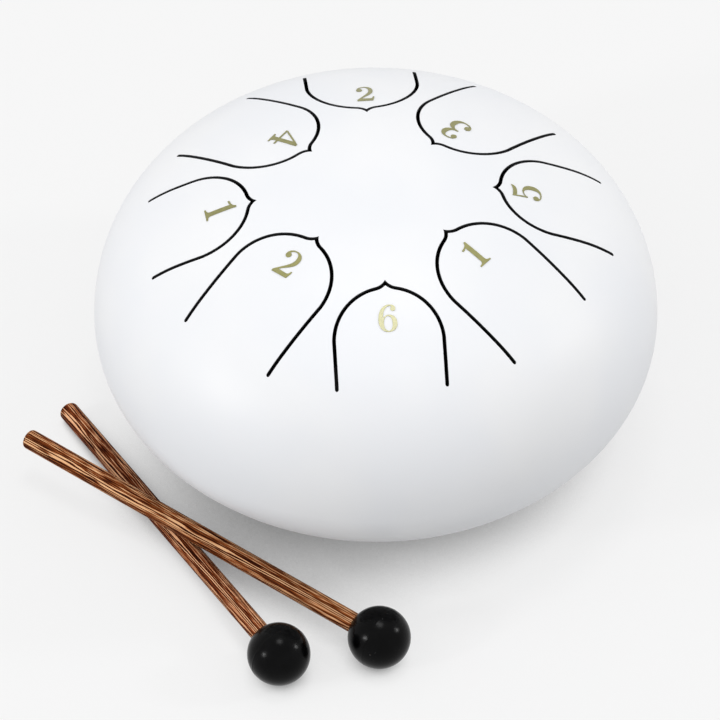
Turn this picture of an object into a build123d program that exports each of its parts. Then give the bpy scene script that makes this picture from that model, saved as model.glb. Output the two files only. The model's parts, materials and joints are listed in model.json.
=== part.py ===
from build123d import *
from collections import namedtuple
import math
import os

# Steel body: two pressed halves that meet at the equator. Lengths are in millimetres.
drum_radius = 100.0
wall = 1.5
equator_height = 54.0
dome_height = 61.0
crown_rise = 9.5
crown_flat_radius = 9.0
standing_height = 4.0
base_drop = 21.75
base_flat_radius = 30.0
sound_hole_radius = 22.0

# Weld bead in the V groove between the halves, ground flush
weld_depth = 1.0
weld_half_width = 0.9

# Tongues: slits like a pointed arch, just lower than a half circle, with the point towards the drum's axis
tongue_count = 8
short_tip_distance = 42.0
long_tip_distance = 30.7
root_distance = 76.4
slit_half_spread = 18.7
slit_width = 1.3
arch_flattening = 0.8
haunch_radius = 12.0
cusp_height = 1.8
cusp_blend_radius = 6.0
root_gap = 0.1

# How each slit is cut: shares of its tip distance, its root distance and its spread, and its turn in degrees
tip_shares = (1.001, 1.006, 0.987, 0.984, 0.996, 0.984, 1.015, 1.009)
tuning_shares = (0.997, 1.006, 1.056, 0.986, 0.976, 0.984, 1.026, 1.005)
spread_shares = (0.997, 1.028, 0.943, 0.988, 1.058, 1.01, 0.995, 1.016)
slit_trims = (-0.2, 1.0, 0.8, -0.1, 0.5, 1.2, -0.2, -0.6)

# Gold foil numerals, in the order of the tongues, with the one that faces the other way
numerals = ("6", "1", "5", "3", "2", "4", "1", "2")
turned_numeral = 4
numeral_height = 10.8
foil_thickness = 0.08
foil_adhesive = 0.1

# Each numeral's height, its distance from the tip and its shift to the side, as shares of the numeral height
numeral_size_shares = (0.88, 0.96, 0.96, 1.1, 1.0, 1.04, 1.0, 0.95)
numeral_back_shares = (1.2, 1.16, 1.01, 1.15, 1.1, 1.06, 1.06, 1.22)
numeral_shift_shares = (0.0, 0.02, -0.04, 0.01, -0.03, -0.09, 0.05, -0.1)

# How wide each numeral is drawn, as a share of its usual width, and its turn in degrees
numeral_width_shares = (1.0, 1.0, 1.0, 0.97, 0.86, 0.97, 1.0, 1.0)
numeral_trims = (0, 0, -2, 2, 0, 5, 7, 3)

# Push-in rubber feet
foot_count = 3
foot_circle_radius = 52.0
foot_radius = 6.0
foot_pad_height = 3.2
foot_neck_radius = 5.2
foot_edge_radius = 0.4
foot_hole_radius = 2.6
foot_stem_radius = 2.5
foot_barb_radius = 3.4
foot_barb_height = 4.0
foot_clearance = 0.05

# Mallets: a rubber ball glued on a wooden stick
head_radius = 11.0
stick_radius = 3.6
stick_end_radius = 1.6
stick_seat_depth = 14.0
glue_gap = 0.05
lower_head_x = -42.1
lower_head_y = -120.4
lower_heading = 119.26
lower_reach = 143.0
upper_head_x = -7.1
upper_head_y = -115.5
upper_heading = 141.7
upper_reach = 151.9
stack_gap = 0.1
settle_rounds = 30

# Length by which cuts run past the faces they open
overrun = 2.0

# Sizes that follow from the ones above
dome_shoulder_radius = dome_height - crown_rise
bowl_depth = equator_height - standing_height
bowl_shoulder_radius = bowl_depth - base_drop

# Numeral outlines as shares of the numeral's height: a point is a straight stretch, three are a curve
one_shares = [
    (-0.25, 0.0), (0.25, 0.0), (0.25, 0.05), ((0.14, 0.06), (0.1, 0.09), (0.1, 0.18)), (0.1, 1.0),
    (0.03, 1.0), ((0.0, 0.9), (-0.1, 0.84), (-0.26, 0.83)), (-0.26, 0.77),
    ((-0.17, 0.77), (-0.12, 0.79), (-0.08, 0.83)),
    (-0.08, 0.18), ((-0.08, 0.09), (-0.13, 0.06), (-0.25, 0.05)),
]
two_shares = [
    (-0.33, 0.0), (0.27, 0.0), ((0.31, 0.08), (0.33, 0.18), (0.34, 0.28)), (0.29, 0.28),
    ((0.27, 0.19), (0.24, 0.15), (0.16, 0.15)), (-0.15, 0.16), ((0.0, 0.33), (0.31, 0.42), (0.31, 0.7)),
    ((0.31, 0.88), (0.19, 1.0), (0.0, 1.0)), ((-0.18, 1.0), (-0.3, 0.9), (-0.3, 0.76)), (-0.22, 0.8),
    ((-0.2, 0.9), (-0.1, 0.955), (-0.03, 0.955)), ((0.09, 0.955), (0.15, 0.86), (0.15, 0.7)),
    ((0.15, 0.5), (-0.1, 0.32), (-0.33, 0.07)),
]
three_shares = [
    (-0.28, 0.83), ((-0.28, 0.94), (-0.16, 1.0), (0.0, 1.0)), ((0.17, 1.0), (0.28, 0.9), (0.28, 0.77)),
    ((0.28, 0.64), (0.18, 0.56), (0.08, 0.535)), ((0.22, 0.51), (0.33, 0.42), (0.33, 0.27)),
    ((0.33, 0.11), (0.19, 0.0), (0.0, 0.0)), ((-0.19, 0.0), (-0.32, 0.08), (-0.32, 0.2)), (-0.24, 0.12),
    ((-0.19, 0.06), (-0.1, 0.045), (-0.03, 0.045)), ((0.1, 0.045), (0.15, 0.14), (0.15, 0.27)),
    ((0.15, 0.42), (0.07, 0.51), (-0.12, 0.51)), (-0.12, 0.555), ((0.05, 0.555), (0.11, 0.64), (0.11, 0.77)),
    ((0.11, 0.89), (0.06, 0.955), (-0.02, 0.955)), ((-0.1, 0.955), (-0.17, 0.94), (-0.2, 0.9)),
]
four_shares = [
    (-0.06, 0.0), (0.34, 0.0), (0.34, 0.05), ((0.25, 0.06), (0.22, 0.08), (0.22, 0.15)), (0.22, 0.25),
    (0.38, 0.25), (0.38, 0.31), (0.22, 0.31), (0.22, 1.0), (0.13, 1.0), (-0.36, 0.31), (-0.36, 0.25),
    (0.06, 0.25), (0.06, 0.15), ((0.06, 0.08), (0.03, 0.06), (-0.06, 0.05)),
]
five_shares = [
    (-0.25, 1.0), ((-0.1, 0.95), (0.12, 0.95), (0.27, 1.02)), ((0.24, 0.86), (0.1, 0.83), (-0.02, 0.83)),
    ((-0.1, 0.83), (-0.16, 0.84), (-0.2, 0.86)), (-0.19, 0.56),
    ((-0.12, 0.62), (-0.04, 0.645), (0.03, 0.645)),
    ((0.21, 0.645), (0.33, 0.52), (0.33, 0.33)), ((0.33, 0.13), (0.18, 0.0), (-0.02, 0.0)),
    ((-0.19, 0.0), (-0.32, 0.08), (-0.32, 0.2)), (-0.24, 0.12),
    ((-0.19, 0.06), (-0.11, 0.045), (-0.04, 0.045)),
    ((0.09, 0.045), (0.15, 0.16), (0.15, 0.33)), ((0.15, 0.5), (0.08, 0.595), (-0.02, 0.595)),
    ((-0.1, 0.595), (-0.17, 0.56), (-0.21, 0.48)), (-0.25, 0.48),
]
six_shares = [
    (0.0, 0.0), ((0.2, 0.0), (0.33, 0.12), (0.33, 0.31)), ((0.33, 0.5), (0.21, 0.62), (0.04, 0.62)),
    ((-0.06, 0.62), (-0.13, 0.57), (-0.17, 0.5)), ((-0.16, 0.78), (-0.06, 0.95), (0.1, 0.95)), (0.16, 0.92),
    (0.29, 0.85), ((0.29, 0.95), (0.2, 1.0), (0.08, 1.0)), ((-0.18, 1.0), (-0.34, 0.75), (-0.34, 0.42)),
    ((-0.34, 0.15), (-0.2, 0.0), (0.0, 0.0)),
]
four_eye_shares = [(-0.29, 0.31), (0.06, 0.31), (0.06, 0.8)]
six_eye_shares = [
    (0.01, 0.04), ((0.21, 0.04), (0.21, 0.575), (0.01, 0.575)),
    ((-0.21, 0.575), (-0.21, 0.04), (0.01, 0.04)),
]

# Outline, eye and round terminals (centre and radius) of each numeral
numeral_shares = {
    "1": (one_shares, None, []),
    "2": (two_shares, None, [(-0.2, 0.755, 0.1)]),
    "3": (three_shares, None, [(-0.19, 0.83, 0.09), (-0.22, 0.2, 0.1)]),
    "4": (four_shares, four_eye_shares, []),
    "5": (five_shares, None, [(-0.22, 0.2, 0.1)]),
    "6": (six_shares, six_eye_shares, [(0.2, 0.845, 0.09)]),
}


Slit = namedtuple("Slit", "tip root spread turn")


def blend_radius(reach, rise, corner):
    """Radius of the flat arc that meets a corner arc smoothly, over a given reach and rise."""
    return ((reach - corner) ** 2 + rise**2 - corner**2) / (2 * (rise - corner))


def polar(centre, radius, angle):
    """Point at an angle, in radians, on a circle."""
    return (centre[0] + radius * math.cos(angle), centre[1] + radius * math.sin(angle))


def arc_between(centre, radius, start, end):
    """Arc of a circle from one angle to another, in radians."""
    angles = (start, (start + end) / 2, end)
    return ThreePointArc(*[polar(centre, radius, angle) for angle in angles])


def half_profile(height, shoulder, flat, inset):
    """Edges of one half of the body, from its equator to its axis, drawn in from the outer skin by inset."""
    broad = blend_radius(drum_radius - flat, height, shoulder)
    shoulder_centre = (drum_radius - shoulder, 0)
    broad_centre = (flat, height - broad)
    meeting = math.atan2(broad - height, drum_radius - shoulder - flat)
    return [
        arc_between(shoulder_centre, shoulder - inset, 0, meeting),
        arc_between(broad_centre, broad - inset, meeting, math.pi / 2),
        Line((flat, height - inset), (0, height - inset)),
    ]


def dome_profile(inset):
    """Edges of the upper half, on the plane through the axis."""
    return half_profile(dome_height, dome_shoulder_radius, crown_flat_radius, inset)


def bowl_profile(inset):
    """Edges of the lower half, still turned upwards, on the plane through the axis."""
    return half_profile(bowl_depth, bowl_shoulder_radius, base_flat_radius, inset)


def spin_about_axis(edges):
    """Solid of revolution about the drum's axis, standing on the equator plane."""
    section = Plane.XZ * make_face(edges)
    return revolve(section, Axis.Z)


def filled(profile, inset):
    """Solid inside one half's skin, drawn in by inset."""
    edges = profile(inset)
    height = edges[-1] @ 1
    corner = (0, 0)
    return spin_about_axis(edges + [Line((0, height.Y), corner), Line(corner, (drum_radius - inset, 0))])


def layer(profile, outer, inner):
    """Solid between two skins of one half, given by how far they are drawn in."""
    outside = profile(outer)
    inside = profile(inner)
    top = Line(outside[-1] @ 1, inside[-1] @ 1)
    foot = Line(outside[0] @ 0, inside[0] @ 0)
    return spin_about_axis(outside + [top] + inside + [foot])


def raised(shape):
    """Upper half set on the equator."""
    return Pos(0, 0, equator_height) * shape


def turned_down(shape):
    """Lower half turned over and hung from the equator."""
    return Pos(0, 0, equator_height) * Rot(180, 0, 0) * shape


def post(radius, low, high, x=0, y=0):
    """Upright cylinder between two heights."""
    return Pos(x, y, low) * Cylinder(radius, high - low, align=(Align.CENTER, Align.CENTER, Align.MIN))


def seam_weld():
    """Weld bead of triangular section round the equator."""
    bead = Polyline(
        (drum_radius - weld_depth, equator_height),
        (drum_radius, equator_height - weld_half_width),
        (drum_radius, equator_height + weld_half_width),
        close=True,
    )
    return spin_about_axis(bead.edges())


def arch_edges(slit, root, offset):
    """Edges of a slit's skin from one root to the other, offset outwards from the slit's middle line."""
    rise = slit.spread - arch_flattening
    spring = slit.tip + cusp_height + rise
    crown = blend_radius(slit.spread, rise, haunch_radius)
    haunch_centre = (slit.spread - haunch_radius, -spring)
    crown_centre = (0, rise - crown - spring)
    meeting = math.atan2(crown - rise, slit.spread - haunch_radius)
    cusp_reach = crown + cusp_height
    blend_reach = crown + cusp_blend_radius
    squares = blend_reach**2 + cusp_reach**2 - cusp_blend_radius**2
    turn = math.pi / 2 - math.acos(squares / (2 * blend_reach * cusp_reach))
    blend_centre = polar(crown_centre, blend_reach, turn)
    blend = cusp_blend_radius - offset
    point = math.acos(-blend_centre[0] / blend)
    side = slit.spread + offset
    half = [
        Line((side, -root), (side, -spring)),
        arc_between(haunch_centre, haunch_radius + offset, 0, meeting),
        arc_between(crown_centre, crown + offset, meeting, turn),
        arc_between(blend_centre, blend, turn - math.pi, -point),
    ]
    return half + [mirror(edge, Plane.YZ) for edge in half]


def slit_end(slit, side):
    """Round end of a slit on one side of the tongue."""
    middle = side * slit.spread
    half = slit_width / 2
    inner = (middle - side * half, -slit.root)
    outer = (middle + side * half, -slit.root)
    return ThreePointArc(inner, (middle, -slit.root - half), outer)


def root_line(slit, root):
    """Straight root of a tongue, from slit to slit."""
    half_root = slit.spread - slit_width / 2
    return Line((-half_root, -root), (half_root, -root))


def tongue_opening(slit):
    """Plan of what is cut from the dome for one tongue and its slit, with the root towards -Y."""
    ends = [slit_end(slit, 1), slit_end(slit, -1), root_line(slit, slit.root)]
    return make_face(arch_edges(slit, slit.root, slit_width / 2) + ends)


def tongue_plan(slit):
    """Plan of one tongue, with the root towards -Y and free of the dome by the root gap."""
    foot = slit.root - root_gap
    return make_face(arch_edges(slit, foot, -slit_width / 2) + [root_line(slit, foot)])


def column(plan, turn):
    """Upright column over a plan, turned about the drum's axis, from the equator to above the crown."""
    return Rot(0, 0, turn) * Pos(0, 0, equator_height) * extrude(plan, dome_height + overrun, dir=(0, 0, 1))


def outline_face(shares, width, height):
    """Face inside a numeral's outline, with its foot on the X axis."""
    edges = []
    last = shares[-1] if isinstance(shares[-1][0], float) else shares[-1][-1]
    for step in shares:
        points = [step] if isinstance(step[0], float) else list(step)
        corners = [(x * width, y * height) for x, y in [last] + points]
        if last != points[-1]:
            edges.append(Line(*corners) if len(points) == 1 else Bezier(*corners))
        last = points[-1]
    return make_face(edges)


def numeral_face(figure, width, height):
    """Face of one numeral, centred on its own height."""
    outline, eye, terminals = numeral_shares[figure]
    face = outline_face(outline, width, height)
    for x, y, radius in terminals:
        face = face + Pos(x * width, y * height) * Circle(radius * height)
    if eye:
        face = face - outline_face(eye, width, height)
    return Pos(0, -height / 2) * face


def numeral_plan(index, slit):
    """Plan of the numeral on one tongue, with the tongue's root towards -Y."""
    spin = numeral_trims[index] + (180 if index == turned_numeral else 0)
    shift = numeral_shift_shares[index] * numeral_height
    back = slit.tip + numeral_back_shares[index] * numeral_height
    height = numeral_size_shares[index] * numeral_height
    width = numeral_width_shares[index] * height
    return Pos(shift, -back) * Rot(0, 0, spin) * numeral_face(numerals[index], width, height)


def slit_of(index):
    """Slit round one tongue, counted round the drum from the front."""
    tip = long_tip_distance if index % 2 else short_tip_distance
    return Slit(
        tip=tip * tip_shares[index],
        root=root_distance * tuning_shares[index],
        spread=slit_half_spread * spread_shares[index],
        turn=index * 360 / tongue_count + slit_trims[index],
    )


def rubber_foot(angle):
    """Push-in foot: a round pad, a neck shaped to the bowl, a stem through its hole and a barb inside."""
    x, y = polar((0, 0), foot_circle_radius, angle)
    pad = post(foot_radius, 0, foot_pad_height, x, y)
    pad = fillet(pad.edges().sort_by(Axis.Z)[0], foot_edge_radius)
    bowl_skin = turned_down(filled(bowl_profile, -foot_clearance))
    neck = post(foot_neck_radius, 0, equator_height, x, y) - bowl_skin
    cavity = turned_down(filled(bowl_profile, wall + foot_clearance))
    barb_top = neck.bounding_box().max.Z + wall + foot_barb_height
    barb = post(foot_barb_radius, foot_pad_height, barb_top, x, y)
    barb_lip = foot_barb_radius - foot_stem_radius
    barb = chamfer(barb.edges().sort_by(Axis.Z)[-1], foot_barb_height / 2, barb_lip)
    stem = post(foot_stem_radius, 0, barb_top - foot_barb_height / 2, x, y)
    return pad + (neck - post(foot_radius, -overrun, foot_pad_height, x, y)) + stem + (barb & cavity)


def foot_angle(index):
    """Direction of a foot from the axis, in radians."""
    return math.pi / 2 + index * 2 * math.pi / foot_count


def mallet_stick(reach):
    """Stick along +X, from its seat in the ball to its rounded tail."""
    start = head_radius - stick_seat_depth
    stick = Pos(start, 0, 0) * Rot(0, 90, 0) * post(stick_radius, 0, reach - start)
    return fillet(stick.edges().sort_by(Axis.X)[-1], stick_end_radius)


def mallet_head():
    """Ball about the origin with a blind bore for the stick along +X."""
    bore = stick_radius + glue_gap
    bore_end = head_radius - stick_seat_depth - glue_gap
    mouth = math.asin(bore / head_radius)
    skin = arc_between((0, 0), head_radius, mouth, math.pi)
    rim = polar((0, 0), head_radius, mouth)
    inside = Polyline((-head_radius, 0), (bore_end, 0), (bore_end, bore), rim)
    section = Plane.XZ * make_face([skin] + inside.edges())
    return revolve(section, Axis.X)


def laid(shape, x, y, heading, slope):
    """Piece of a mallet with its ball on the floor, its tail along the heading and rising by the slope."""
    rise = math.degrees(math.atan(slope))
    return Pos(x, y, head_radius) * Rot(0, 0, heading) * Rot(0, -rise, 0) * shape


def lower_slope():
    """Slope of the stick that lies with its tail on the floor."""
    fall = head_radius - stick_radius
    return -fall / math.sqrt(lower_reach**2 - fall**2)


def upper_slope():
    """Slope of the stick that leans on the lower one, from the plan of their crossing."""
    low = (math.cos(math.radians(lower_heading)), math.sin(math.radians(lower_heading)))
    high = (math.cos(math.radians(upper_heading)), math.sin(math.radians(upper_heading)))
    aside = (lower_head_x - upper_head_x, lower_head_y - upper_head_y)
    spread = low[0] * high[1] - low[1] * high[0]
    along_low = (aside[1] * high[0] - aside[0] * high[1]) / spread
    along_high = (aside[1] * low[0] - aside[0] * low[1]) / spread
    apart = 2 * stick_radius + stack_gap
    fall = lower_slope()
    slope = 0
    for _ in range(settle_rounds):
        normal = (low[1] * slope - fall * high[1], fall * high[0] - low[0] * slope, spread)
        lift = apart * math.hypot(*normal) / abs(spread)
        slope = (fall * along_low + lift) / along_high
    return slope


os.makedirs("parts", exist_ok=True)
pieces = {}

# Steel body
bead = seam_weld()
dome = raised(layer(dome_profile, 0, wall))
foil = raised(layer(dome_profile, -foil_adhesive - foil_thickness, -foil_adhesive))
bowl = turned_down(layer(bowl_profile, 0, wall))
slits = [slit_of(index) for index in range(tongue_count)]
openings = [column(tongue_opening(slit), slit.turn) for slit in slits]
pieces["upper_shell"] = dome - [bead] - openings
foot_spots = [polar((0, 0), foot_circle_radius, foot_angle(index)) for index in range(foot_count)]
holes = [post(foot_hole_radius, 0, equator_height, x, y) for x, y in foot_spots]
pieces["lower_shell"] = bowl - [bead, post(sound_hole_radius, 0, equator_height)] - holes
pieces["seam_weld"] = bead

# Tongues and their numerals, counted round the drum from the front
for index, slit in enumerate(slits):
    pieces[f"tongue_{index + 1}"] = dome & column(tongue_plan(slit), slit.turn)
    pieces[f"number_{index + 1}"] = foil & column(numeral_plan(index, slit), slit.turn)

# Feet
for index in range(foot_count):
    pieces[f"rubber_foot_{index + 1}"] = rubber_foot(foot_angle(index))

# Mallets
lower_place = (lower_head_x, lower_head_y, lower_heading, lower_slope())
upper_place = (upper_head_x, upper_head_y, upper_heading, upper_slope())
pieces["lower_mallet_stick"] = laid(mallet_stick(lower_reach), *lower_place)
pieces["lower_mallet_head"] = laid(mallet_head(), *lower_place)
pieces["upper_mallet_stick"] = laid(mallet_stick(upper_reach), *upper_place)
pieces["upper_mallet_head"] = laid(mallet_head(), *upper_place)

for name, shape in pieces.items():
    export_step(shape, f"parts/{name}.step")
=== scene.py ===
"""Looks of a steel tongue drum and its pair of mallets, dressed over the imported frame.

Lengths are in metres.
"""
import json
import logging
from contextlib import contextmanager
from dataclasses import dataclass
from enum import Enum
from functools import partialmethod
from math import acos, asin, atan2, cos, hypot, pi, radians, sin, sqrt
from typing import Any, Callable, Iterator, Sequence

import bmesh
import bpy
from mathutils import Matrix, Vector, geometry, kdtree

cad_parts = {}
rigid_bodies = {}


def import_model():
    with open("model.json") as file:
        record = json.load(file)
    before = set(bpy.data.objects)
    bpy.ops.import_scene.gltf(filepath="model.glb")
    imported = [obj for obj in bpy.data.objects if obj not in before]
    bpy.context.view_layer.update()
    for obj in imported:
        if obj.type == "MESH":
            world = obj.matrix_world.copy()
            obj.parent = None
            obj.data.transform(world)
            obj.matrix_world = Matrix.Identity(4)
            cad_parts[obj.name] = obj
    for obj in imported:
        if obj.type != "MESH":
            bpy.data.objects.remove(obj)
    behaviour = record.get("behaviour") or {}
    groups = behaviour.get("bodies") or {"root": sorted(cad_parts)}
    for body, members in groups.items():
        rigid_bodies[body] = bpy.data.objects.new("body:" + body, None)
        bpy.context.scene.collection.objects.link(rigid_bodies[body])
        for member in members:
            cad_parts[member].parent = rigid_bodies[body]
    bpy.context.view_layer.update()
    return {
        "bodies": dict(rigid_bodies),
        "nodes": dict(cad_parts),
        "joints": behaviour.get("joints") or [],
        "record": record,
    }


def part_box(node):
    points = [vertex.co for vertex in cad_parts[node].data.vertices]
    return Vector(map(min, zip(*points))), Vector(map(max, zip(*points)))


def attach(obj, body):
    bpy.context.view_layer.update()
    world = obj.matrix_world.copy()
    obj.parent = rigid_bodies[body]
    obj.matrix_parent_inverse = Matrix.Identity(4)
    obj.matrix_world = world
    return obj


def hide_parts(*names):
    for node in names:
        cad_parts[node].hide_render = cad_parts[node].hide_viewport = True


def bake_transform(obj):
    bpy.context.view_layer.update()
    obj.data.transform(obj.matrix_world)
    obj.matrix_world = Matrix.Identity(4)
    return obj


LOG = logging.getLogger("tongue_drum")
PHOTO_PIXELS = 720
# Corners this close are one, and a point this near the skin lies on it
MERGE = 1e-5
PLAN_MERGE = MERGE / 10
ON_SKIN = MERGE * 2
# Sizes of the solids that their boxes don't show
ROOT_GAP = 0.0001
CROWN_RISE = 0.0095
CROWN_FLAT = 0.009
BASE_DROP = 0.02175
BASE_FLAT = 0.03
# Middle of a noise's values, and width of a Wave texture's band at scale 1
MIDDLE = 0.5
WAVE_BAND = pi / 10
Piece = bpy.types.Object
Material = bpy.types.Material
Colour = tuple[float, float, float]
Point = tuple[float, float]
Sheet = tuple[list[Point], list[list[int]]]


def steps(start: float, end: float, count: int) -> list[float]:
    """Values from start to end in equal steps, both ends among them."""
    return [start + (end - start) * index / count for index in range(count + 1)]


class Slot(Enum):
    """Material slots of the record, one for each finish."""

    PAINT = "shell_paint"
    FOIL = "gold_foil"
    FOOT = "foot_rubber"
    WOOD = "stick_wood"
    HEAD = "head_rubber"


class Part(Enum):
    """What is selected in edit mode."""

    EDGE = "edges"
    FACE = "faces"


class Wire:
    """A socket of a shader graph, on which Python's operators add Math nodes."""

    def __init__(self, graph: "Graph", socket: bpy.types.NodeSocket) -> None:
        """Keep the socket and the graph that it belongs to."""
        self.graph = graph
        self.socket = socket

    def joined(self, operation: str, swapped: bool, other: Any) -> "Wire":
        """Math node on this value and another, which comes first where they are swapped."""
        pair = (other, self) if swapped else (self, other)
        return self.graph.node("ShaderNodeMath", {"operation": operation}, dict(enumerate(pair)))

    __add__ = __radd__ = partialmethod(joined, "ADD", False)
    __sub__ = partialmethod(joined, "SUBTRACT", False)
    __rsub__ = partialmethod(joined, "SUBTRACT", True)
    __mul__ = __rmul__ = partialmethod(joined, "MULTIPLY", False)
    __or__ = __ror__ = partialmethod(joined, "MAXIMUM", False)

    def between(self, low: float, high: float) -> "Wire":
        """Smooth rise from 0 where this value is low to 1 where it is high."""
        sockets = {"Value": self, "From Min": low, "From Max": high}
        return self.graph.node("ShaderNodeMapRange", {"interpolation_type": "SMOOTHSTEP"}, sockets)


class Graph:
    """Node tree of one material or of the world."""

    def __init__(self, tree: bpy.types.NodeTree) -> None:
        """Start from an empty tree."""
        self.tree = tree
        tree.nodes.clear()

    def node(self, kind: str, settings: dict[str, Any] | None = None, sockets: dict[Any, Any] | None = None,
             output: str | int = 0) -> Wire:
        """Add a node.

        Args:
            kind: Type of the node.
            settings: Its own settings, set first; "stops" holds the places and colours of a ramp.
            sockets: Values or wires of its input sockets, by name or number.
            output: Output socket to hand back.

        Returns:
            The wire of that output.
        """
        made = self.tree.nodes.new(kind)
        for name, value in (settings or {}).items():
            if name == "stops":
                self.set_stops(made.color_ramp, value)
            else:
                setattr(made, name, value)
        for name, value in (sockets or {}).items():
            socket = made.inputs[name]
            if isinstance(value, Wire):
                self.tree.links.new(value.socket, socket)
            else:
                socket.default_value = value
        return Wire(self, made.outputs[output]) if made.outputs else Wire(self, made.inputs[0])

    @staticmethod
    def set_stops(ramp: bpy.types.ColorRamp, stops: Sequence[tuple[float, Colour]]) -> None:
        """Give a ramp its stops, from left to right.

        Args:
            ramp: Ramp of a node.
            stops: Place and colour of each stop.
        """
        while len(ramp.elements) < len(stops):
            ramp.elements.new(1.0)
        for element, (place, colour) in zip(ramp.elements, stops):
            element.position = place
            element.color = (*colour, 1.0)

    def mix(self, factor: Any, first: Any, second: Any) -> Wire:
        """Colour that goes from first to second as the factor rises."""
        first, second = [value if isinstance(value, Wire) else (*value, 1.0) for value in (first, second)]
        return self.node("ShaderNodeMix", {"data_type": "RGBA"}, {0: factor, 6: first, 7: second}, 2)

    def noise(self, where: Wire, size: float, detail: float = 2.0, rough: float = 0.5) -> Wire:
        """Soft noise with grains of about the given size."""
        sockets = {"Vector": where, "Scale": 1.0 / size, "Detail": detail, "Roughness": rough}
        return self.node("ShaderNodeTexNoise", None, sockets)

    def bump(self, height: Wire, depth: float) -> Wire:
        """Normal of a surface that rises by depth where the height is 1."""
        return self.node("ShaderNodeBump", None, {"Strength": 1.0, "Distance": depth, "Height": height})

    def seen(self) -> Wire:
        """1 for rays from the camera or by way of mirrors and glass, 0 for the light of the scene.

        Returns:
            1 or 0 for each ray.
        """
        kinds = ("Camera", "Glossy", "Transmission")
        rays = [self.node("ShaderNodeLightPath", output=f"Is {kind} Ray") for kind in kinds]
        return rays[0] | rays[1] | rays[2]

    def surface(self, sockets: dict[str, Any]) -> None:
        """Principled shader with these sockets, as the material's surface."""
        shader = self.node("ShaderNodeBsdfPrincipled", None, sockets)
        self.node("ShaderNodeOutputMaterial", None, {"Surface": shader})


def new_graph(name: str) -> tuple[Material, Graph, Wire]:
    """New material with an empty graph.

    Args:
        name: Name of the material.

    Returns:
        The material, its graph and the place on the surface.
    """
    material = bpy.data.materials.new(name)
    material.use_nodes = True
    graph = Graph(material.node_tree)
    return material, graph, graph.node("ShaderNodeTexCoord", output="Object")


@dataclass(frozen=True)
class PowderCoat:
    """White satin powder coat, which thins out to uncoated steel inside the slits and the drum, coloured
    near black there as painted shade.
    """

    white: Colour = (0.83, 0.836, 0.85)
    cool_white: Colour = (0.80, 0.812, 0.838)
    # Near-black colour past the paint's end: uncoated steel, and painted shade in the slits and inside the
    # drum
    bare_steel_and_painted_shade: Colour = (0.010, 0.010, 0.011)
    shine: float = 0.5
    roughness: float = 0.47
    roughness_spread: float = 0.08
    bare_roughness: float = 0.3
    cloud_size: float = 0.05
    cloud_tones: Point = (0.35, 0.65)
    peel_size: float = 0.0013
    peel_depth: float = 0.000006
    grit_size: float = 0.00025
    ragged_size: float = 0.0006
    ragged_share: float = 0.12
    ragged_from_shares: Point = (0.0, 0.1)
    paint_ends_shares: Point = (0.02, 0.13)

    def material(self) -> Material:
        """Material of the painted steel, which reads a point's depth in the wall from its attribute.

        Returns:
            The material.
        """
        material, graph, where = new_graph("white_powder_coat")
        deep = graph.node("ShaderNodeAttribute", {"attribute_name": "wall_depth"}, output="Fac")
        ragged = (graph.noise(where, self.ragged_size, 3.0) - MIDDLE) * self.ragged_share
        border = deep + ragged * deep.between(*self.ragged_from_shares)
        # Where the paint ends with depth, the colour turns to the near-black painted shade on the uncoated
        # steel
        bare_and_painted_shade = border.between(*self.paint_ends_shares)
        clouds = graph.noise(where, self.cloud_size)
        paint = graph.mix(clouds.between(*self.cloud_tones), self.white, self.cool_white)
        grit = (graph.noise(where, self.grit_size, 1.0) - MIDDLE) * self.roughness_spread
        peel = graph.noise(where, self.peel_size, 1.5)
        graph.surface({
            "Base Color": graph.mix(bare_and_painted_shade, paint, self.bare_steel_and_painted_shade),
            "Roughness": self.roughness + grit + bare_and_painted_shade * self.bare_roughness,
            "Normal": graph.bump(peel, self.peel_depth),
            "Specular IOR Level": self.shine,
        })
        return material


@dataclass(frozen=True)
class GoldFoil:
    """Thin hot-stamped gold foil with a faint grain from the paint beneath."""

    gold: Colour = (0.312, 0.298, 0.114)
    worn_gold: Colour = (0.272, 0.262, 0.098)
    roughness: float = 0.5
    roughness_spread: float = 0.2
    film: float = 0.85
    film_roughness: float = 0.12
    grain_size: float = 0.0004
    grain_depth: float = 0.000004
    rub_size: float = 0.002
    rub_tones: Point = (0.4, 0.7)

    def material(self) -> Material:
        """Material of the numerals.

        Returns:
            The material.
        """
        material, graph, where = new_graph("gold_foil")
        rub = graph.noise(where, self.rub_size, 3.0)
        grain = graph.noise(where, self.grain_size)
        graph.surface({
            "Base Color": graph.mix(rub.between(*self.rub_tones), self.gold, self.worn_gold),
            "Metallic": 1.0,
            "Roughness": self.roughness + (grain - MIDDLE) * self.roughness_spread,
            "Normal": graph.bump(grain, self.grain_depth),
            "Coat Weight": self.film,
            "Coat Roughness": self.film_roughness,
        })
        return material


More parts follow.
